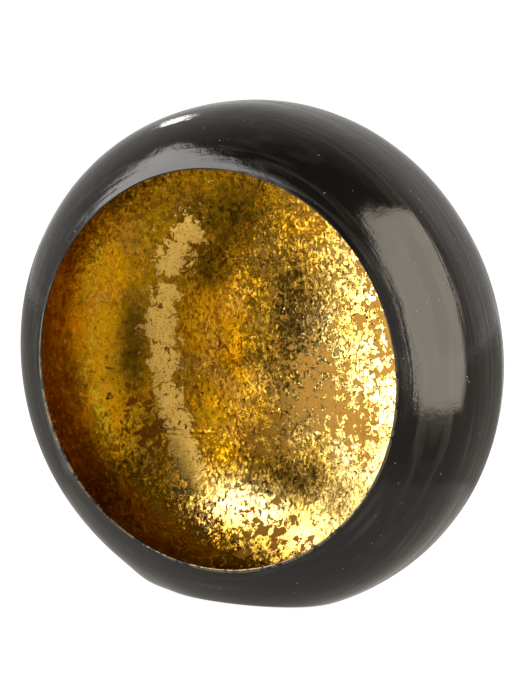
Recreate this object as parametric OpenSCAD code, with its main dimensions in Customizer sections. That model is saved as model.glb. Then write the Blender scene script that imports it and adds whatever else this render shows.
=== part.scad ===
// Standing gilded bowl: a round sheet-iron body that stands on edge, open at the front,
// black lacquered outside and lined inside with separate sheets of brass leaf.
//
// Frame: the floor is z = 0 and the centre of the flat foot is the origin. The body's axis
// is level, along Y, and the opening faces -Y. The welded seam lies in the plane y = 0.

/* [Body] */
// Diameter of the body across its widest circle
body_d = 250; // [180:1:340]
// Depth the body would have with no opening cut in it
body_depth = 115; // [84:1:156]
// Squareness of the shoulders: 2 is an ellipse, more is squarer
shoulder = 2.7; // [2.3:0.1:3.2]
// Diameter of the round opening, over its cut edge
opening_d = 194; // [120:1:206]

/* [Sheet] */
// Thickness of the iron sheet
sheet_t = 0.8; // [0.6:0.1:2]

/* [Foot] */
// How far the bottom is pressed up flat, so that the body stands
foot_lift = 7.8; // [4:0.1:12]

/* [Seam] */
// Width of the weld that joins the halves
weld_w = 2.4; // [1.6:0.2:4]
// How far the dressed weld stands proud of the sheet
weld_proud = 0.3; // [0.1:0.05:0.6]

/* [Leaf lining] */
// Side of the middle leaf on the back wall
leaf_side = 80; // [60:1:100]
// Thickness of a leaf, drawn thicker than the real foil
leaf_t = 0.12; // [0.08:0.01:0.2]
// Thickness of the glue size under the leaves, left as a gap
size_t = 0.05; // [0.03:0.01:0.1]
// Gap between neighbouring leaves where the real ones lap
leaf_gap = 0.2; // [0.1:0.05:0.5]
// How far behind the seam the wall leaves end and the back leaves begin
wall_leaf_back = 22; // [12:1:30]
// Number of leaves round the wall
wall_leaves = 12; // [10:1:14]

/* [Hidden] */
body_r = body_d / 2;
half_depth = body_depth / 2;
axis_h = body_r - foot_lift;                  // height of the body's axis over the floor
opening_r = opening_d / 2;
step_a = 3;                                   // step of the profile's angle, in degrees
rim_a = acos(pow(opening_r / body_r, shoulder / 2));
reach = body_d + body_depth;                  // a length past the whole body
leaf_inset = sheet_t + size_t;
wall_leaf_a = 360 / wall_leaves;
back_places = [                               // name, column and row, seen from the front
    ["top_left", -1, 1], ["top", 0, 1], ["top_right", 1, 1],
    ["left", -1, 0], ["middle", 0, 0], ["right", 1, 0],
    ["bottom_left", -1, -1], ["bottom", 0, -1], ["bottom_right", 1, -1]];
iron = "#1c1a19";
weld_colour = "#262322";
leaf_colour = "#d9a441";
$fn = 96;

// A point of the profile: its distance from the axis, and its distance before the seam.
// The angle runs from -90 at the back pole to 90 at the front pole. inset moves it inwards.
function profile_point(a, inset) =
    [(body_r - inset) * pow(cos(a), 2 / shoulder),
     sign(a) * (half_depth - inset) * pow(abs(sin(a)), 2 / shoulder)];

rim_out = profile_point(rim_a, 0);
rim_in = profile_point(rim_a, sheet_t);

// Turns a profile about the body's level axis, with the profile's +Y as the front
module about_axis() {
    translate([0, 0, axis_h]) rotate([90, 0, 0]) rotate_extrude() children();
}

// The closed body, flat at its foot, with its skin moved inwards by inset
module body_form(inset) {
    intersection() {
        about_axis() polygon([for (a = [-90 : step_a : 90]) profile_point(a, inset)]);
        translate([-reach, -reach, inset]) cube(2 * reach);
    }
}

// What the opening takes away: its edge is square to the sheet
module opening_cut() {
    edge = rim_out - rim_in;
    inward = 4;                               // both are counted in sheet thicknesses
    outward = (half_depth - rim_out.y) / edge.y + 2;
    about_axis() polygon([
        [0, rim_in.y - inward * edge.y], rim_in - inward * edge,
        rim_out + outward * edge, [0, rim_out.y + outward * edge.y]]);
}

// The hollow sheet-iron body, before it is split at the seam
module iron_body() {
    difference() {
        body_form(0);
        body_form(sheet_t);
        opening_cut();
    }
}

// Keeps what lies behind the plane y = back_of
module behind(back_of) {
    intersection() {
        children();
        translate([-reach, back_of, -reach]) cube(2 * reach);
    }
}

// Keeps what lies before the plane y = front_of
module before(front_of) {
    intersection() {
        children();
        translate([-reach, front_of - 2 * reach, -reach]) cube(2 * reach);
    }
}

// Front half: a dished ring with the round opening
module front_shell() {
    color(iron) before(-weld_w / 2) iron_body();
}

// Back half: a deep dish, closed at the back
module back_shell() {
    color(iron) behind(weld_w / 2) iron_body();
}

// Weld between the halves: a ring with a crowned bead, dressed flat across the foot
module seam_weld() {
    crown_r = (weld_w * weld_w / 4 + weld_proud * weld_proud) / (2 * weld_proud);
    color(weld_colour) difference() {
        intersection() {
            about_axis() {
                translate([0, -weld_w / 2]) square([body_r, weld_w]);
                intersection() {
                    translate([body_r + weld_proud - crown_r, 0]) circle(crown_r);
                    translate([body_r - sheet_t, -weld_w / 2])
                        square([sheet_t + 2 * weld_proud, weld_w]);
                }
            }
            translate([-reach, -reach, 0]) cube(2 * reach);
        }
        intersection() {
            about_axis() translate([0, -weld_w]) square([body_r - sheet_t, 2 * weld_w]);
            translate([-reach, -reach, sheet_t]) cube(2 * reach);
        }
    }
}

// The whole lining as one skin, before it is cut into leaves
module leaf_skin() {
    difference() {
        body_form(leaf_inset);
        body_form(leaf_inset + leaf_t);
        opening_cut();
    }
}

// One of the nine leaves on the back wall. column and row are -1, 0 or 1, seen from the front.
module back_leaf(column, row) {
    low_x = column < 0 ? -reach : (column == 0 ? -leaf_side / 2 : leaf_side / 2 + leaf_gap);
    high_x = column > 0 ? reach : (column == 0 ? leaf_side / 2 : -leaf_side / 2 - leaf_gap);
    low_z = row < 0 ? -reach : (row == 0 ? -leaf_side / 2 : leaf_side / 2 + leaf_gap);
    high_z = row > 0 ? reach : (row == 0 ? leaf_side / 2 : -leaf_side / 2 - leaf_gap);
    color(leaf_colour) intersection() {
        leaf_skin();
        translate([low_x, wall_leaf_back + leaf_gap, axis_h + low_z])
            cube([high_x - low_x, reach, high_z - low_z]);
    }
}

// One leaf of the wall, from the opening's edge back past the seam. The first is at the top.
module wall_leaf(count) {
    gap_a = leaf_gap / body_r * 180 / PI;
    middle_a = 90 - (count - 1) * wall_leaf_a;
    half_a = (wall_leaf_a - gap_a) / 2;
    color(leaf_colour) intersection() {
        before(wall_leaf_back) leaf_skin();
        translate([0, 0, axis_h]) rotate([90, 0, 0]) linear_extrude(2 * reach, center = true)
            polygon([[0, 0], reach * [cos(middle_a + half_a), sin(middle_a + half_a)],
                     reach * [cos(middle_a - half_a), sin(middle_a - half_a)]]);
    }
}

front_shell();
back_shell();
seam_weld();
for (place = back_places)
    back_leaf(place[1], place[2]);
for (count = [1 : wall_leaves])
    wall_leaf(count);
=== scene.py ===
import math

import bpy
import numpy as np
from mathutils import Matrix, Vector, noise


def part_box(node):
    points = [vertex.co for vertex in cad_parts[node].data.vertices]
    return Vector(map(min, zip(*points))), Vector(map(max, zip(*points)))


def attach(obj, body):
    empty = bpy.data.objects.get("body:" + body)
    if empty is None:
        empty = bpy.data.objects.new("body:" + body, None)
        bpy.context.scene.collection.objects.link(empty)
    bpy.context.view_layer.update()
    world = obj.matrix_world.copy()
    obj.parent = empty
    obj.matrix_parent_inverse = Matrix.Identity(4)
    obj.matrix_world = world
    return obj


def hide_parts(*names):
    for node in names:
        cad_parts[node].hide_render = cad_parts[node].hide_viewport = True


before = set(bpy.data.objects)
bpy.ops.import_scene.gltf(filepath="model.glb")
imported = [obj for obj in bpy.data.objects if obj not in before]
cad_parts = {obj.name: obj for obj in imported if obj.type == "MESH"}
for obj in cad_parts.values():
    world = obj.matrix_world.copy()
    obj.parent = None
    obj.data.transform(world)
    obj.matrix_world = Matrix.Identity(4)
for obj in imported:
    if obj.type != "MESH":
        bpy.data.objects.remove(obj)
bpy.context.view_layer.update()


# ---- Camera -----------------------------------------------------------------------------
# The bowl stands turned a little to the left of the lens, which is long and just above it.
_, back_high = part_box("back_shell")
body_r = back_high[0]                       # of the round body, over the lacquer
axis_h = back_high[2] - body_r              # the body's level axis, over the floor
camera_turn = math.radians(28.2)
camera_rise = math.radians(9.3)
camera_far = 1.944                          # from the bowl's middle
aim_right, aim_up = 0.0022, 0.0035          # the bowl sits this far off the frame's middle

to_camera = Vector((math.sin(camera_turn) * math.cos(camera_rise),
                    -math.cos(camera_turn) * math.cos(camera_rise), math.sin(camera_rise)))
camera_right = Vector((math.cos(camera_turn), math.sin(camera_turn), 0))
camera_up = to_camera.cross(camera_right)
bowl_middle = Vector((0, 0, axis_h))

lens = bpy.data.cameras.new("camera")
lens.lens = 205.7
lens.sensor_width = 36
lens.clip_end = 50
camera = bpy.data.objects.new("camera", lens)
bpy.context.scene.collection.objects.link(camera)
camera.location = (bowl_middle + camera_right * aim_right + camera_up * aim_up
                   + to_camera * camera_far)
camera.rotation_euler = to_camera.to_track_quat("Z", "Y").to_euler()
bpy.context.scene.camera = camera


# ---- Front shell ------------------------------------------------------------------------
# A dished ring pressed from 0.8 mm iron sheet with a round opening trimmed in it.
# It is welded to the back shell, hammered flat underneath, and brushed with gloss lacquer.
front_low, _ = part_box("front_shell")
half_depth = back_high[1]                   # from the seam to the back pole
opening_y = -front_low[1]                   # from the seam to the opening's edge
shoulder = 2.7                              # squareness of the profile
sheet_t = 0.0008
foot_corner = 0.0011                        # how softly the flat of the foot turns up
bulge = 0.0018                              # sheet pushed out beside the foot
bulge_reach = 0.011
bulge_place = np.array([-0.052, -0.014, 0.004])
around_steps = 384                          # points of each ring
front_steps = 64                            # rings of each face


def profile(angle, inset=0.0):
    """Distance from the axis and distance towards the opening, for an angle of -90 to 90."""
    reach = np.abs(np.cos(angle)) ** (2 / shoulder)
    depth = np.sign(angle) * np.abs(np.sin(angle)) ** (2 / shoulder)
    return (body_r - inset) * reach, (half_depth - inset) * depth


def angle_at(depth):
    """The profile's angle where it is this far towards the opening."""
    part = min(abs(depth) / half_depth, 1.0)
    return math.copysign(math.asin(part ** (shoulder / 2)), depth)


def sheet_run(start, end):
    """Fine profile angles from start to end, and how much sheet has passed at each."""
    fine = np.linspace(start, end, 6000)
    r, d = profile(fine)
    return fine, np.concatenate([[0], np.cumsum(np.hypot(np.diff(r), np.diff(d)))])


def even_angles(start, end, count):
    """Profile angles that split the stretch from start to end into even lengths of sheet."""
    fine, run = sheet_run(start, end)
    return np.interp(np.linspace(0, run[-1], count), run, fine)


def lumps(points, size, seed):
    """Smooth noise of about -1 to 1 at each point, with lumps of the given size."""
    shift = Vector((seed * 7.31, seed * 3.17, seed * 5.73))
    return np.array([noise.noise(Vector(p) / size + shift) for p in points])


def dents(points):
    """How far the hand-worked sheet stands off its true shape, outwards."""
    slow = 0.00030 * lumps(points, 0.060, 1)
    small = 0.00012 * lumps(points, 0.024, 2)
    pushed = bulge * np.exp(-((points - bulge_place) ** 2).sum(1) / bulge_reach ** 2)
    return slow + small + pushed


def on_sheet(r, d, turn, inset, lift=0.0):
    """Points of the hand-worked sheet: r from the axis and d to the front, at each turn."""
    r, d, turn = np.broadcast_arrays(r, d, turn)
    points = np.stack([r * np.cos(turn), -d, axis_h + r * np.sin(turn)], -1).reshape(-1, 3)
    lean_r = (r / body_r) ** (shoulder - 1) / body_r
    lean_d = np.sign(d) * np.abs(d / half_depth) ** (shoulder - 1) / half_depth
    out = np.stack([lean_r * np.cos(turn), -lean_d, lean_r * np.sin(turn)], -1).reshape(-1, 3)
    out /= np.linalg.norm(out, axis=1)[:, None] + 1e-12
    moved = points + out * (dents(points) - lift)[:, None]
    floor = inset + lift
    over = moved[:, 2] - floor
    moved[:, 2] = floor + 0.5 * (over + np.sqrt(over * over + foot_corner ** 2))
    return moved


def make_piece(name, verts, faces, material):
    mesh = bpy.data.meshes.new(name)
    mesh.from_pydata(verts.tolist(), [], faces)
    mesh.shade_smooth()
    mesh.materials.append(material)
    piece = bpy.data.objects.new(name, mesh)
    bpy.context.scene.collection.objects.link(piece)
    return piece


def turned(name, rings, material, pole=None):
    """A closed sheet turned about the bowl's axis from rings (r, d, inset) in order round the
    sheet's section. pole is the index of the ring after which the section crosses the axis."""
    turn = np.linspace(0, 2 * math.pi, around_steps, endpoint=False)
    verts = [on_sheet(r, d, turn, inset) for r, d, inset in rings]
    count = len(rings)
    faces = []
    for ring in range(count):
        after = (ring + 1) % count
        if ring == pole:
            continue
        for step in range(around_steps):
            beside = (step + 1) % around_steps
            faces.append((ring * around_steps + step, ring * around_steps + beside,
                          after * around_steps + beside, after * around_steps + step))
    if pole is not None:
        for ring, inset, order in ((pole, 0.0, 1), (pole + 1, sheet_t, -1)):
            verts.append(on_sheet(0.0, -(half_depth - inset), np.zeros(1), inset))
            tip = count * around_steps + (0 if order > 0 else 1)
            for step in range(around_steps):
                edge = [ring * around_steps + step,
                        ring * around_steps + (step + 1) % around_steps]
                faces.append((*edge[::order], tip))
    return make_piece(name, np.concatenate(verts), faces, material)


class Finish:
    """A material in the making. Each step adds to it and gives back what it puts out."""

    def __init__(self, name):
        self.material = bpy.data.materials.new(name)
        self.material.use_nodes = True
        self.tree = self.material.node_tree
        self.shader = self.tree.nodes["Principled BSDF"]
        self.place = self.step("ShaderNodeTexCoord").outputs["Object"]

    def step(self, kind, **settings):
        node = self.tree.nodes.new(kind)
        for setting, value in settings.items():
            setattr(node, setting, value)
        return node

    def feed(self, socket, value):
        """Join an output to a socket, or set the socket to a number or a colour."""
        if isinstance(value, bpy.types.NodeSocket):
            self.tree.links.new(value, socket)
        elif isinstance(value, tuple) and len(value) < len(socket.default_value):
            socket.default_value = (*value, 1)
        else:
            socket.default_value = value

    def coat(self, socket, value):
        self.feed(self.shader.inputs[socket], value)

    def maths(self, kind, a, b=0.0):
        node = self.step("ShaderNodeMath", operation=kind)
        self.feed(node.inputs[0], a)
        self.feed(node.inputs[1], b)
        return node.outputs[0]

    def vectors(self, kind, a, b=None):
        node = self.step("ShaderNodeVectorMath", operation=kind)
        self.feed(node.inputs[0], a)
        if b is not None:
            self.feed(node.inputs["Scale" if kind == "SCALE" else 1], b)
        return node.outputs["Value" if kind == "LENGTH" else "Vector"]

    def split(self, vector):
        node = self.step("ShaderNodeSeparateXYZ")
        self.feed(node.inputs[0], vector)
        return list(node.outputs)

    def joined(self, x, y, z=0.0):
        node = self.step("ShaderNodeCombineXYZ")
        for socket, value in zip(node.inputs, (x, y, z)):
            self.feed(socket, value)
        return node.outputs[0]

    def channels(self, colour):
        node = self.step("ShaderNodeSeparateColor")
        self.feed(node.inputs[0], colour)
        return list(node.outputs)

    def ranged(self, value, low, high, to_low=0.0, to_high=1.0):
        """value, stretched so that low becomes to_low and high becomes to_high."""
        node = self.step("ShaderNodeMapRange")
        node.inputs["From Min"].default_value = low
        node.inputs["From Max"].default_value = high
        node.inputs["To Min"].default_value = to_low
        node.inputs["To Max"].default_value = to_high
        self.feed(node.inputs["Value"], value)
        return node.outputs[0]

    def mixed(self, factor, a, b):
        node = self.step("ShaderNodeMix", data_type="RGBA")
        self.feed(node.inputs["Factor"], factor)
        self.feed(node.inputs["A"], a)
        self.feed(node.inputs["B"], b)
        return node.outputs["Result"]

    def noise(self, across, scale, detail, rough=0.5, warp=0.0):
        node = self.step("ShaderNodeTexNoise")
        node.inputs["Scale"].default_value = scale
        node.inputs["Detail"].default_value = detail
        node.inputs["Roughness"].default_value = rough
        node.inputs["Distortion"].default_value = warp
        self.feed(node.inputs["Vector"], across)
        return node.outputs["Fac"]

    def cells(self, across, scale):
        """Distance to each cell's middle, and a random colour for each cell."""
        node = self.step("ShaderNodeTexVoronoi")
        node.inputs["Scale"].default_value = scale
        self.feed(node.inputs["Vector"], across)
        return node.outputs["Distance"], node.outputs["Color"]

    def bump(self, height, tall, before=None):
        node = self.step("ShaderNodeBump")
        node.inputs["Distance"].default_value = tall
        node.inputs["Strength"].default_value = 1.0
        self.feed(node.inputs["Height"], height)
        if before is not None:
            self.feed(node.inputs["Normal"], before)
        return node.outputs[0]


def lacquer(name):
    """Hand-brushed gloss black: streaks round the bowl, orange peel, dust and a chipped edge."""
    black = (0.0036, 0.0031, 0.0026)
    thin_black = (0.016, 0.0138, 0.0115)    # where the brush left less of it
    dust_grey = (0.20, 0.17, 0.12)
    bare_iron = (0.22, 0.17, 0.10)
    streaks_per_m = 1000
    round_scale = 2.4                       # how fast a streak changes round the bowl

    finish = Finish(name)
    x, y, z = finish.split(finish.place)
    off_axis = finish.joined(x, finish.maths("SUBTRACT", z, axis_h))
    reach = finish.vectors("LENGTH", off_axis)
    spoke_x, spoke_z, _ = finish.split(finish.vectors("NORMALIZE", off_axis))
    across_streaks = finish.maths("SUBTRACT", reach, y)
    brushed = finish.joined(finish.maths("MULTIPLY", across_streaks, streaks_per_m),
                            finish.maths("MULTIPLY", spoke_x, round_scale),
                            finish.maths("MULTIPLY", spoke_z, round_scale))
    streaks = finish.noise(brushed, 1.0, 3)

    nib_size, nib_colour = finish.cells(finish.place, 260)
    nib_on = finish.maths("GREATER_THAN", finish.channels(nib_colour)[0], 0.74)
    nibs = finish.maths("MULTIPLY", finish.ranged(nib_size, 0.11, 0.0), nib_on)

    skin = finish.bump(streaks, 0.00013)
    for scale, detail, tall in ((95, 1, 0.00022), (520, 2, 0.000050), (1500, 2, 0.000035)):
        skin = finish.bump(finish.noise(finish.place, scale, detail), tall, skin)
    skin = finish.bump(nibs, 0.00018, skin)
    finish.coat("Normal", skin)
    finish.coat("Roughness", finish.ranged(streaks, 0.3, 0.7, 0.05, 0.19))
    colour = finish.mixed(finish.ranged(streaks, 0.52, 0.72), black, thin_black)
    colour = finish.mixed(nibs, colour, dust_grey)

    # The lacquer has chipped off the opening's cut edge, low down, where it is set down
    at_edge = finish.ranged(y, 0.00045 - opening_y, 0.00015 - opening_y)
    chipped = finish.ranged(finish.noise(finish.place, 260, 4), 0.44, 0.52)
    low_down = finish.ranged(z, axis_h + 0.02, axis_h - 0.04)
    bare = finish.maths("MULTIPLY", at_edge, finish.maths("MULTIPLY", low_down, chipped))
    finish.coat("Base Color", finish.mixed(bare, colour, bare_iron))
    finish.coat("Metallic", bare)
    return finish.material


black_lacquer = lacquer("black_lacquer")
weld_half = 0.0012
seam_angle = angle_at(weld_half)
rim_angle = angle_at(opening_y)
front_angles = even_angles(seam_angle, rim_angle, front_steps)
crisp = 0.0008                              # of turn: keeps the shading true up to a cut edge
front_angles = np.sort(np.append(front_angles, [seam_angle + crisp, rim_angle - crisp]))
front_rings = [(*profile(v), 0.0) for v in front_angles]
rim_lip = 0.00022                           # the cut edge is filed a little round
for through, proud in ((0.14, 0.62), (0.5, 1.0), (0.86, 0.62)):
    rim_r, rim_d = profile(rim_angle, sheet_t * through)
    front_rings.append((rim_r - rim_lip * proud * 0.9, rim_d + rim_lip * proud * 0.4,
                        sheet_t * through))
front_rings += [(*profile(v, sheet_t), sheet_t) for v in front_angles[::-1]]
front_shell = turned("front_shell_sheet", front_rings, black_lacquer)
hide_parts("front_shell")
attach(front_shell, "root")


# ---- Back shell -------------------------------------------------------------------------
# A deep dish pressed from the same sheet and closed at the back, lacquered in the same coat.
pole_gap = 0.0012                           # of turn, from the last ring to the pole
back_steps = 100
back_angles = even_angles(-seam_angle, pole_gap - math.pi / 2, back_steps)
back_angles = np.sort(np.append(back_angles, -seam_angle - crisp))[::-1]
back_rings = [(*profile(v), 0.0) for v in back_angles]
back_rings += [(*profile(v, sheet_t), sheet_t) for v in back_angles[::-1]]
back_shell = turned("back_shell_sheet", back_rings, black_lacquer, pole=len(back_angles) - 1)
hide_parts("back_shell")
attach(back_shell, "root")


# ---- Seam weld --------------------------------------------------------------------------
# The bead that joins the halves at the widest circle, dressed low and lacquered over.
weld_proud = 0.00009
weld_sunk = 0.000002                        # its edges start just under the shells' faces
bead_steps = 13
bead_toe = 0.03                             # of turn: one more ring close to each edge
bead_turns = np.linspace(-1, 1, bead_steps) * math.pi / 2
bead_turns = np.sort(np.append(bead_turns, [bead_toe - math.pi / 2, math.pi / 2 - bead_toe]))
bead = [(body_r - weld_sunk + weld_proud * math.cos(a) ** 2, weld_half * math.sin(a), 0.0)
        for a in bead_turns]
bead += [(body_r - sheet_t, weld_half, sheet_t), (body_r - sheet_t, -weld_half, sheet_t)]
seam_weld = turned("seam_weld_bead", bead, black_lacquer)
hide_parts("seam_weld")
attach(seam_weld, "root")


# ---- Leaf lining ------------------------------------------------------------------------
# Squares of brass leaf, each laid by hand on ochre glue size inside the bowl: nine on the
# back wall and twelve round the side. They crinkle, tear into islands, and lap each other.
leaf_side = 0.080
leaf_lap = 0.004
leaf_under = sheet_t + 0.00006              # the size's thickness lies between
leaf_step = 0.00004                         # each leaf laid over another sits this much higher
leaf_grid = 0.00065                         # spacing of the points of a leaf's mesh
back_trim = 0.0012                          # a torn edge lies this far inside the leaf's own side
wall_trim = 0.0010
rim_gap = 0.0006                            # left bare between the wall's leaves and the opening
wall_count = 12
wall_back = 0.022                           # the wall's leaves end this far behind the seam
back_places = {"middle": (0, 0), "left": (-1, 0), "right": (1, 0), "top": (0, 1),
               "bottom": (0, -1), "top_left": (-1, 1), "top_right": (1, 1),
               "bottom_left": (-1, -1), "bottom_right": (1, -1)}

fine_angles, sheet_passed = sheet_run(-math.pi / 2, rim_angle)
run_at_rim = sheet_passed[-1]
run_at_join = float(np.interp(angle_at(-wall_back), fine_angles, sheet_passed))


def leaf_material(name):
    """Crinkled brass leaf, with ochre glue size showing in the tears. Each leaf's own state
    comes from the layers that lay_leaf paints on it."""
    # The deep brass and deep ochre are painted shade copies, as if lit by light off the gold, and
    # the pale ones are painted lit copies, of one leaf and one glue size; the two colours of each
    # pair vary at random
    painted_gold_shade_brass = ((0.92, 0.42, 0.005), (0.96, 0.50, 0.010))
    painted_lit_brass = ((0.95, 0.60, 0.13), (0.99, 0.75, 0.31))
    honey_brass = ((0.92, 0.60, 0.012), (0.97, 0.76, 0.040))
    # The dull and the tarnished browns below are painted shade, with random cloudy tone mixed in
    painted_shade_brass = (0.115, 0.062, 0.004)
    tarnish_and_painted_deep_shade = (0.040, 0.022, 0.002)
    polished = (0.88, 0.56, 0.125)
    scuffed = (0.80, 0.40, 0.035)
    painted_lit_ochre = ((0.58, 0.29, 0.030), (0.74, 0.41, 0.070))
    painted_gold_shade_ochre = ((0.34, 0.13, 0.003), (0.46, 0.20, 0.006))
    speck_brown = (0.05, 0.03, 0.004)

    finish = Finish(name)
    shift = finish.step("ShaderNodeAttribute", attribute_name="leaf_shift")
    state = finish.step("ShaderNodeAttribute", attribute_name="leaf_state")
    wear_and_painted_shade = finish.step("ShaderNodeAttribute", attribute_name="leaf_wear_and_painted_shade")
    tearing, crinkled, painted_lit_paleness = finish.channels(state.outputs["Color"])
    painted_shade_level, smoothness, honeyed = finish.channels(wear_and_painted_shade.outputs["Color"])
    where = finish.vectors("ADD", finish.place, shift.outputs["Vector"])
    drawn = finish.vectors("MULTIPLY", where, (1.0, 1.0, 0.6))   # folds run longer up and down

    # Patches that lie flat and polished, with ragged borders
    ragged_edge = finish.ranged(finish.noise(where, 190, 10, 0.72, 0.5), 0.3, 0.7, -0.62, 0.62)
    flat = finish.ranged(finish.maths("ADD", smoothness, ragged_edge), 0.42, 0.47)

    # Tears: broken islands, more of them where the leaf's state says so
    tears = finish.maths("ADD", finish.noise(where, 230, 9, 0.66, 0.5), tearing)
    torn = finish.ranged(tears, 0.992, 1.008)

    # Crinkles: folded ridges at two sizes and a fine grain
    def ridges(scale, warp):
        off_middle = finish.maths("SUBTRACT", finish.noise(drawn, scale, 3, 0.6, warp), 0.5)
        return finish.maths("ABSOLUTE", off_middle)

    coarse = ridges(260, 1.4)
    fine = finish.maths("MULTIPLY", ridges(720, 0.8), 0.70)
    grain = finish.maths("MULTIPLY", finish.noise(drawn, 1700, 2, 0.6), 0.06)
    amount = finish.maths("MULTIPLY", crinkled, finish.ranged(flat, 0, 1, 1.0, 0.10))
    height = finish.maths("ADD", finish.maths("ADD", coarse, fine), grain)
    height = finish.maths("MULTIPLY", height, amount)
    height = finish.maths("ADD", height, finish.maths("MULTIPLY", torn, -0.10))
    crinkle = finish.bump(height, 0.00046)

    # Each crushed facet of the foil also leans its own way, but the bare size doesn't
    _, facets = finish.cells(drawn, 860)
    lean = finish.vectors("SUBTRACT", facets, (0.5, 0.5, 0.5))
    how_far = finish.maths("MULTIPLY", amount, finish.ranged(torn, 0, 1, 0.42, 0.0))
    leant = finish.vectors("ADD", crinkle, finish.vectors("SCALE", lean, how_far))
    finish.coat("Normal", finish.vectors("NORMALIZE", leant))

    # Colour: the brass tint of each region, painted pale where lit and deep gold in painted shade,
    # then painted shade with random tone and tarnish, scuffs and specks
    painted_gold_shade_tint = finish.mixed(finish.ranged(finish.noise(where, 55, 4), 0.35, 0.65), *painted_gold_shade_brass)
    painted_lit_pale = finish.mixed(finish.ranged(finish.noise(where, 40, 4), 0.35, 0.65), *painted_lit_brass)
    honey = finish.mixed(finish.ranged(finish.noise(where, 70, 4), 0.35, 0.65), *honey_brass)
    tint = finish.mixed(honeyed, finish.mixed(painted_lit_paleness, painted_gold_shade_tint, painted_lit_pale), honey)
    cloud = finish.ranged(finish.noise(where, 240, 7, 0.74, 0.3), 0.25, 0.75, -0.46, 0.46)
    painted_shade_and_cloud = finish.maths("ADD", painted_shade_level, cloud)
    # Painted shade: the brass darkens where the painted shade level and the random cloud add up,
    # darkest in the shade places and near the far-left rim
    tint = finish.mixed(finish.ranged(painted_shade_and_cloud, 0.0, 1.0, 0.0, 0.88), tint, painted_shade_brass)
    tint = finish.mixed(finish.ranged(painted_shade_and_cloud, 1.12, 1.40, 0.0, 0.9), tint, tarnish_and_painted_deep_shade)
    scuffs = finish.ranged(finish.noise(drawn, 330, 6, 0.70), 0.555, 0.60, 0.0, 0.75)
    tint = finish.mixed(flat, tint, finish.mixed(scuffs, polished, scuffed))
    # Painted light on the size: pale lit ochre in the lit places, and deep ochre as painted
    # gold-lit shade elsewhere
    ochre = finish.mixed(painted_lit_paleness, finish.mixed(finish.noise(where, 300, 3), *painted_gold_shade_ochre),
                         finish.mixed(finish.noise(where, 420, 3), *painted_lit_ochre))
    # Small dark brown specks scattered by noise, a few more of them in the flat patches
    speck_level = finish.maths("ADD", finish.noise(where, 1000, 2, 0.7),
                        finish.ranged(flat, 0, 1, 0.0, 0.03))
    colour = finish.mixed(torn, tint, ochre)
    colour = finish.mixed(finish.ranged(speck_level, 0.64, 0.69), colour, speck_brown)
    finish.coat("Base Color", colour)

    # The foil is metal and shines; the size is neither
    finish.coat("Metallic", finish.ranged(torn, 0, 1, 1.0, 0.0))
    finish.coat("Specular IOR Level", 0.15)
    rough = finish.ranged(finish.noise(where, 90, 3), 0.3, 0.7, 0.07, 0.13)
    rough = finish.maths("ADD", rough, finish.ranged(painted_lit_paleness, 0, 1, 0.12, 0.0))
    rough = finish.maths("ADD", rough, finish.maths("MULTIPLY", torn, 0.45))
    finish.coat("Roughness", rough)
    return finish.material


brass_leaf = leaf_material("brass_leaf")

# Lines on the back wall, each from one end to the other, across and up from the axis: where
# the leaf lies smooth and polished, and where it has folded over itself in a crease
smooth_reach = 0.0084                       # each side of the line
crease_reach = 0.0007
smooth_lines = [(-0.065, 0.053, -0.077, 0.034), (-0.079, 0.019, -0.083, 0.002),
                (-0.083, 0.002, -0.080, -0.021), (-0.078, -0.032, -0.070, -0.054),
                (-0.070, -0.054, -0.060, -0.075)]
creases = [(-0.094, -0.0500, -0.052, -0.0505), (-0.088, -0.0523, -0.058, -0.0530),
           (-0.056, 0.004, -0.034, -0.022), (-0.066, 0.036, -0.036, 0.046),
           (-0.084, 0.022, -0.052, 0.038), (-0.024, -0.010, -0.014, -0.046)]

# Places on the lining, each across and up from the axis with its reach across and up: where
# the leaf is torn, is painted pale as if lit, has a painted highlight or painted shade, and lies
# calm
torn_places = [(-0.004, -0.026, 0.024, 0.026), (0.030, -0.036, 0.012, 0.014),
               (0.052, 0.020, 0.020, 0.030),
               (-0.084, -0.052, 0.012, 0.020), (-0.020, -0.098, 0.016, 0.010)]
painted_lit_places = [(0.060, 0.000, 0.052, 0.085), (0.012, -0.020, 0.030, 0.060),
               (-0.028, -0.084, 0.026, 0.014), (0.030, -0.080, 0.040, 0.030)]
painted_highlight_places = [(0.056, 0.005, 0.036, 0.060), (0.054, -0.050, 0.034, 0.040),
                 (-0.034, -0.085, 0.030, 0.010), (0.020, -0.100, 0.040, 0.012),
                 (-0.052, 0.006, 0.014, 0.024), (-0.044, -0.038, 0.014, 0.020),
                 (-0.110, 0.016, 0.016, 0.045), (-0.105, -0.045, 0.022, 0.022),
                 (-0.066, -0.094, 0.044, 0.024), (-0.112, 0.030, 0.010, 0.030)]
painted_shade_places = [(-0.096, -0.006, 0.007, 0.026), (-0.012, 0.010, 0.020, 0.050),
               (-0.040, 0.060, 0.024, 0.018), (-0.056, 0.036, 0.012, 0.013),
               (-0.006, -0.070, 0.024, 0.011)]
calm_places = [(0.060, 0.002, 0.040, 0.060), (-0.034, -0.085, 0.030, 0.012)]


def spread(points, places):
    """How strongly each point lies in any of the places, from 0 to 1."""
    value = np.zeros(len(points))
    for x, z, across, up in places:
        far = ((points[:, 0] - x) / across) ** 2 + ((points[:, 2] - axis_h - z) / up) ** 2
        value = np.maximum(value, np.exp(-far))
    return value


def near_lines(points, lines, width):
    """How near each point of the back wall is to any of the lines, from 0 to 1."""
    value = np.zeros(len(points))
    spot = np.stack([points[:, 0], points[:, 2] - axis_h], -1)
    for x0, z0, x1, z1 in lines:
        start, run = np.array([x0, z0]), np.array([x1 - x0, z1 - z0])
        part = ((spot - start) @ run) / (run @ run)
        off = np.linalg.norm(spot - start - np.clip(part, 0, 1)[:, None] * run, axis=1)
        value = np.maximum(value, np.exp(-(off / width) ** 2) * (points[:, 1] > 0))
    return value


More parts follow.
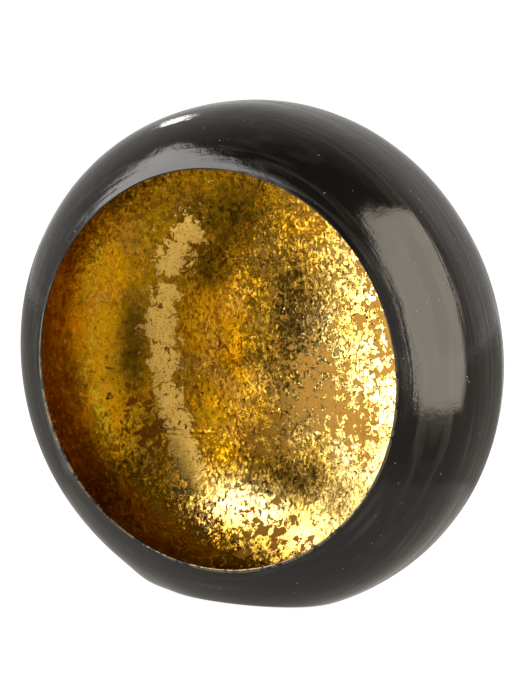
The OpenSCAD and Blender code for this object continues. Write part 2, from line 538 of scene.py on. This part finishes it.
def foil(name, top, under, keep):
    """A sheet of foil with a torn edge, between its upper and lower faces' grids of points.
    keep says which points it has. Gives the piece, and the points that it uses."""
    index = np.arange(keep.size).reshape(keep.shape)
    whole = keep[:-1, :-1] & keep[1:, :-1] & keep[1:, 1:] & keep[:-1, 1:]
    corners = index[:-1, :-1], index[1:, :-1], index[1:, 1:], index[:-1, 1:]
    used, faces = np.unique(np.stack(corners, -1)[whole], return_inverse=True)
    faces = faces.reshape(-1, 4)

    # The torn edge all round joins the foil's two faces, and stays sharp
    count = len(used)
    sides = np.concatenate([faces[:, [k, (k + 1) % 4]] for k in range(4)])
    codes = np.sort(sides, 1) @ np.array([count, 1])
    _, first, times = np.unique(codes, return_index=True, return_counts=True)
    edge = sides[first[times == 1]]
    rim_faces = np.stack([edge[:, 1], edge[:, 0], edge[:, 0] + count, edge[:, 1] + count], -1)
    verts = np.concatenate([top[used], under[used]])
    all_faces = np.concatenate([faces, faces[:, ::-1] + count, rim_faces])
    piece = make_piece(name, verts, all_faces.tolist(), brass_leaf)
    mesh = piece.data
    ends = np.zeros(len(mesh.edges) * 2, np.int64)
    mesh.edges.foreach_get("vertices", ends)
    ends = np.sort(ends.reshape(-1, 2), 1)
    upper_rim = np.sort(edge, 1) @ np.array([2 * count, 1])
    lower_rim = upper_rim + count * (2 * count + 1)
    sharp = np.isin(ends @ np.array([2 * count, 1]), np.concatenate([upper_rim, lower_rim]))
    mesh.attributes.new("sharp_edge", "BOOLEAN", "EDGE").data.foreach_set("value", sharp)
    return piece, used


def lay_leaf(name, r, d, turn, keep, number, over):
    """One leaf on a grid of sheet points; keep says which points it covers. over lifts it
    onto the leaves laid before it."""
    foil_t = 0.00003
    settled = 0.00003                       # the foil's least height over the glue size
    loose = 0.00010                         # how far it stands off in slow waves
    fold_height = 0.00020
    crease_height = 0.00016
    base = on_sheet(r, d, turn, leaf_under, 0.0)
    smooth = 0.90 * near_lines(base, smooth_lines, smooth_reach)
    crinkled = 0.50 + 0.50 * np.clip(0.5 + lumps(base, 0.018, 20), 0, 1)
    folds = np.abs(lumps(base, 0.0046, 40)) + 0.6 * np.abs(lumps(base, 0.0023, 60))
    lift = settled + over + crinkled * (1 - 0.9 * smooth) * fold_height * folds
    lift += loose * (1 + lumps(base, 0.012, 80))
    lift += crease_height * near_lines(base, creases, crease_reach)
    top = on_sheet(r, d, turn, leaf_under, lift)
    under = on_sheet(r, d, turn, leaf_under, lift - foil_t)
    piece, used = foil(name, top, under, keep)

    # How torn, crushed, pale (painted light), darkened (painted shade with random tone), smooth and
    # honey-coloured the leaf is at each point
    spot = base[used]
    wander = lumps(spot, 0.014, 11)
    # Painted light: the lining is paler in the places where it should look lit, with random lumps
    painted_lit_pale = np.clip(1.5 * spread(spot, painted_lit_places) + 0.25 * wander, 0, 1)
    off_axis = np.hypot(spot[:, 0], spot[:, 2] - axis_h)
    honey = np.clip((off_axis - 0.111) / 0.006, 0, 1) * np.clip(0.5 - spot[:, 0] / 0.05, 0, 1)
    # Painted highlight and painted shade: the listed highlight places keep the lining bright, while
    # the listed shade places and the far-left rim darken it
    painted_rim_shade = honey * np.clip((0.034 - spot[:, 1]) / 0.016, 0, 1)
    painted_shade_spot = spread(spot, painted_shade_places)
    painted_highlight = np.clip(1.3 * spread(spot, painted_highlight_places), 0, 1)
    painted_highlight *= (1 - 0.85 * painted_rim_shade) * (1 - 0.8 * painted_shade_spot)
    torn = 0.37 + 0.10 * lumps(spot, 0.030, 5) + 0.12 * spread(spot, torn_places) + 0.05 * painted_lit_pale
    calm = 1 - 0.76 * spread(spot, calm_places)
    own_tone = 0.10 * math.sin(2.7 * number)
    # Painted shade: the lining is darkened all over except in the highlight places, more in the
    # shade places and near the far-left rim, with random lumps and a random tone for each leaf
    painted_shade_and_tone = np.clip(0.74 - 0.74 * painted_highlight + 0.18 * wander + own_tone + 0.25 * painted_rim_shade
                  + 0.62 * painted_shade_spot, 0, 2)
    crushed = crinkled[used] * (0.66 + 0.34 * painted_lit_pale) * calm
    mesh = piece.data
    for layer, parts in (("leaf_state", (torn, crushed, painted_lit_pale)),
                         ("leaf_wear_and_painted_shade", (painted_shade_and_tone, smooth[used], honey))):
        values = np.stack([*parts, np.ones(len(used))], -1).astype(np.float32)
        values = np.tile(values, (2, 1))
        mesh.attributes.new(layer, "FLOAT_COLOR", "POINT").data.foreach_set("color", values.ravel())
    shift = np.tile(np.float32([number * 0.37, number * 0.91, number * 0.53]), 2 * len(used))
    mesh.attributes.new("leaf_shift", "FLOAT_VECTOR", "POINT").data.foreach_set("vector", shift)
    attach(piece, "root")
    return piece


def ragged(along, number):
    """How far a hand-torn edge strays, along its length."""
    stray = 0.0007
    return stray * np.array([noise.noise(Vector((v / 0.009, number * 3.3, 0.5))) +
                            0.5 * noise.noise(Vector((v / 0.0019, number * 1.7, 4.5)))
                            for v in along.ravel()]).reshape(along.shape)


def back_leaf(name, column, row, number, over):
    """A leaf of the back wall, in a column and row of -1 to 1 round the middle square."""
    half = leaf_side / 2
    reach = run_at_join + 0.5 * leaf_lap
    spans = {-1: (-reach, -half + leaf_lap / 2), 0: (-half - leaf_lap / 2, half + leaf_lap / 2),
             1: (half - leaf_lap / 2, reach)}
    u0, u1 = spans[column]
    v0, v1 = spans[row]
    u = np.linspace(u0, u1, int((u1 - u0) / leaf_grid) + 1)[None, :]
    v = np.linspace(v0, v1, int((v1 - v0) / leaf_grid) + 1)[:, None]
    u, v = np.broadcast_arrays(u, v)
    run = np.hypot(u, v)
    keep = run <= reach
    keep &= (u > u0 + back_trim + ragged(v, number)) | (column < 0)
    keep &= (u < u1 - back_trim + ragged(v, number + 0.3)) | (column > 0)
    keep &= (v > v0 + back_trim + ragged(u, number + 0.5)) | (row < 0)
    keep &= (v < v1 - back_trim + ragged(u, number + 0.7)) | (row > 0)
    angle = np.interp(run, sheet_passed, fine_angles)
    r, d = profile(angle, leaf_under)
    piece = lay_leaf("leaf_on_back_" + name, r, d, np.arctan2(v, u), keep, number, over)
    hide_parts("leaf_back_" + name)


def wall_leaf(count, over):
    """A leaf of the side wall, counted clockwise from the top."""
    number = len(back_places) + 1 + count
    middle = math.pi / 2 - (count - 1) * 2 * math.pi / wall_count
    half_turn = math.pi / wall_count + leaf_lap / 2 / body_r
    run_end = run_at_rim - rim_gap
    run_start = run_at_join - leaf_lap
    run = np.linspace(run_start, run_end, int((run_end - run_start) / leaf_grid) + 1)[:, None]
    turn = np.linspace(middle - half_turn, middle + half_turn,
                       int(2 * half_turn * body_r / leaf_grid) + 1)[None, :]
    run, turn = np.broadcast_arrays(run, turn)
    off = (turn - middle) * body_r
    reach = half_turn * body_r
    keep = off > -reach + wall_trim + ragged(run, number)
    keep &= off < reach - wall_trim + ragged(run, number + 0.3)
    keep &= run > run_start + wall_trim + ragged(off, number + 0.5)
    angle = np.interp(run, sheet_passed, fine_angles)
    r, d = profile(angle, leaf_under)
    piece = lay_leaf(f"leaf_on_wall_{count}", r, d, turn, keep, number, over)
    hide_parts(f"leaf_wall_{count}")


for number, (name, (column, row)) in enumerate(back_places.items()):
    back_leaf(name, column, row, number + 1, leaf_step * (abs(column) + abs(row)))
for count in range(1, wall_count + 1):
    wall_leaf(count, leaf_step * (3 + count % 2))


# ---- Floor ------------------------------------------------------------------------------
# A plain white table top that runs far past the bowl.
floor_half = 12.0
floor_white = bpy.data.materials.new("floor_white")
floor_white.use_nodes = True
floor_shader = floor_white.node_tree.nodes["Principled BSDF"]
floor_shader.inputs["Base Color"].default_value = (0.30, 0.30, 0.298, 1)
floor_shader.inputs["Roughness"].default_value = 0.6
floor_shader.inputs["Emission Color"].default_value = (1, 1, 1, 1)
floor_shader.inputs["Emission Strength"].default_value = 0.92
floor_corners = np.array([[x * floor_half, y * floor_half, 0.0]
                          for x, y in ((-1, -1), (1, -1), (1, 1), (-1, 1))])
floor = make_piece("floor", floor_corners, [(0, 1, 2, 3)], floor_white)


# ---- Light ------------------------------------------------------------------------------
# Soft boxes stand low at the left and right of the bowl, with a small one behind it at the
# left, in a white room that is dark only on the camera's side. Dark and grey cards before
# the opening are seen only in the gloss.
def soft_box(name, azimuth, far, across, up, radiance, tilt=0.0, colour=(1.0, 0.985, 0.95)):
    """A soft box facing the bowl's middle. azimuth 0 is straight before the opening, 90 at
    its right; far is how far off it stands; across and up are its edges, seen from the bowl."""
    turn = math.radians(azimuth)
    lean = math.radians(tilt)
    width, tall = across[1] - across[0], up[1] - up[0]
    lamp = bpy.data.lights.new(name, "AREA")
    lamp.shape = "RECTANGLE"
    lamp.size = width
    lamp.size_y = tall
    lamp.energy = radiance * math.pi * width * tall
    lamp.color = colour
    thing = bpy.data.objects.new(name, lamp)
    bpy.context.scene.collection.objects.link(thing)
    way = Vector((math.sin(turn) * math.cos(lean), -math.cos(turn) * math.cos(lean),
                  math.sin(lean)))
    side = Vector((math.cos(turn), math.sin(turn), 0))
    rise = way.cross(side)
    thing.location = (bowl_middle + way * far + side * (across[0] + across[1]) / 2
                      + rise * (up[0] + up[1]) / 2)
    thing.rotation_euler = way.to_track_quat("Z", "Y").to_euler()
    thing.visible_camera = False
    return thing


right_box = soft_box("right_box", 74, 0.25, (-0.134, 0.104), (-0.164, 0.145), 4.6, 20,
                     (1.0, 0.91, 0.76))
soft_box("left_box", -54, 1.00, (-0.249, 0.87), (0.09, 0.759), 5.5, 10)
soft_box("left_low_box", -54, 0.55, (-0.169, 0.23), (-0.113, -0.015), 15.0)
soft_box("rear_box", -124, 0.70, (-0.05, 0.05), (0.52, 0.62), 20.0)
outside = bpy.data.collections.new("outside")   # the right box is flagged off the opening
for piece in (front_shell, back_shell, seam_weld, floor):
    outside.objects.link(piece)
right_box.light_linking.receiver_collection = outside


def card(name, corners, strength):
    """A card that shows only in reflections."""
    mat = bpy.data.materials.new(name)
    mat.use_nodes = True
    shader = mat.node_tree.nodes["Principled BSDF"]
    shader.inputs["Base Color"].default_value = (0.01, 0.01, 0.01, 1)
    shader.inputs["Roughness"].default_value = 1.0
    shader.inputs["Specular IOR Level"].default_value = 0.0
    shader.inputs["Emission Color"].default_value = (1, 0.94, 0.85, 1)
    shader.inputs["Emission Strength"].default_value = strength
    piece = make_piece(name, np.array(corners), [tuple(range(len(corners)))], mat)
    piece.visible_camera = False
    piece.visible_diffuse = False
    piece.visible_shadow = False
    return piece


def floor_fan(apex, from_turn, to_turn, near, far, height):
    """Corners of a fan on the table, spread from apex between two azimuths."""
    steps = 25
    turns = np.radians(np.linspace(from_turn, to_turn, steps))
    ring = [(apex[0] + math.sin(a) * near, apex[1] - math.cos(a) * near, height) for a in turns]
    return ring + [(apex[0] + math.sin(a) * far, apex[1] - math.cos(a) * far, height)
                   for a in turns[::-1]]


def standing(apex, from_turn, to_turn, far, low, high):
    """Corners of an upright card between two azimuths from apex."""
    a, b = math.radians(from_turn), math.radians(to_turn)
    start, end = [(apex[0] + math.sin(v) * far, apex[1] - math.cos(v) * far) for v in (a, b)]
    return [(*start, low), (*end, low), (*end, high), (*start, high)]


left_back = (-0.070, 0.050)                 # the left part of the back wall looks out from here
foot = (0, 0)
upper, lower, lowest = 0.002, 0.0015, 0.0005            # the cloths lie over one another
card("dark_cloth_left", floor_fan(left_back, -40, -9, 0.30, 1.15, upper), 0.04)
card("dark_cloth_right", floor_fan(left_back, 9, 23, 0.30, 1.6, upper), 0.03)
card("tan_cloth", floor_fan(left_back, 23, 80, 0.30, 0.9, upper), 0.28)
card("tan_card", standing(left_back, 23, 66, 0.9, 0.0, 0.60), 0.55)
card("left_cloth", floor_fan(foot, -176, -78, 0.18, 4.0, lower), 0.45)
card("foot_cloth", floor_fan(foot, -180, 180, 0.028, 0.20, lowest), 0.62)
card("grey_cloth", floor_fan(left_back, -9, 9, 0.26, 1.15, upper), 0.65)
card("grey_card", standing(left_back, -24, 9, 1.2, 0.0, 0.42), 0.65)
card("right_cloth", floor_fan(foot, 34, 176, 0.18, 4.0, lower), 0.38)

dark_side, light_side = 0.04, 0.75          # the room before the bowl, and behind it
room = bpy.data.worlds.new("room")
bpy.context.scene.world = room
room.use_nodes = True
room_nodes, room_links = room.node_tree.nodes, room.node_tree.links
room_way = room_nodes.new("ShaderNodeTexCoord")
room_side = room_nodes.new("ShaderNodeVectorMath")
room_side.operation = "DOT_PRODUCT"
room_side.inputs[1].default_value = (-math.sin(camera_turn), math.cos(camera_turn), 0)
room_links.new(room_way.outputs["Generated"], room_side.inputs[0])
room_fade = room_nodes.new("ShaderNodeMapRange")
room_fade.inputs["From Min"].default_value = -0.35
room_fade.inputs["From Max"].default_value = 0.45
room_fade.inputs["To Min"].default_value = dark_side
room_fade.inputs["To Max"].default_value = light_side
room_links.new(room_side.outputs["Value"], room_fade.inputs["Value"])
room_links.new(room_fade.outputs[0], room_nodes["Background"].inputs["Strength"])
room_nodes["Background"].inputs["Color"].default_value = (1.0, 0.965, 0.92, 1)
bpy.context.scene.view_settings.view_transform = "Standard"
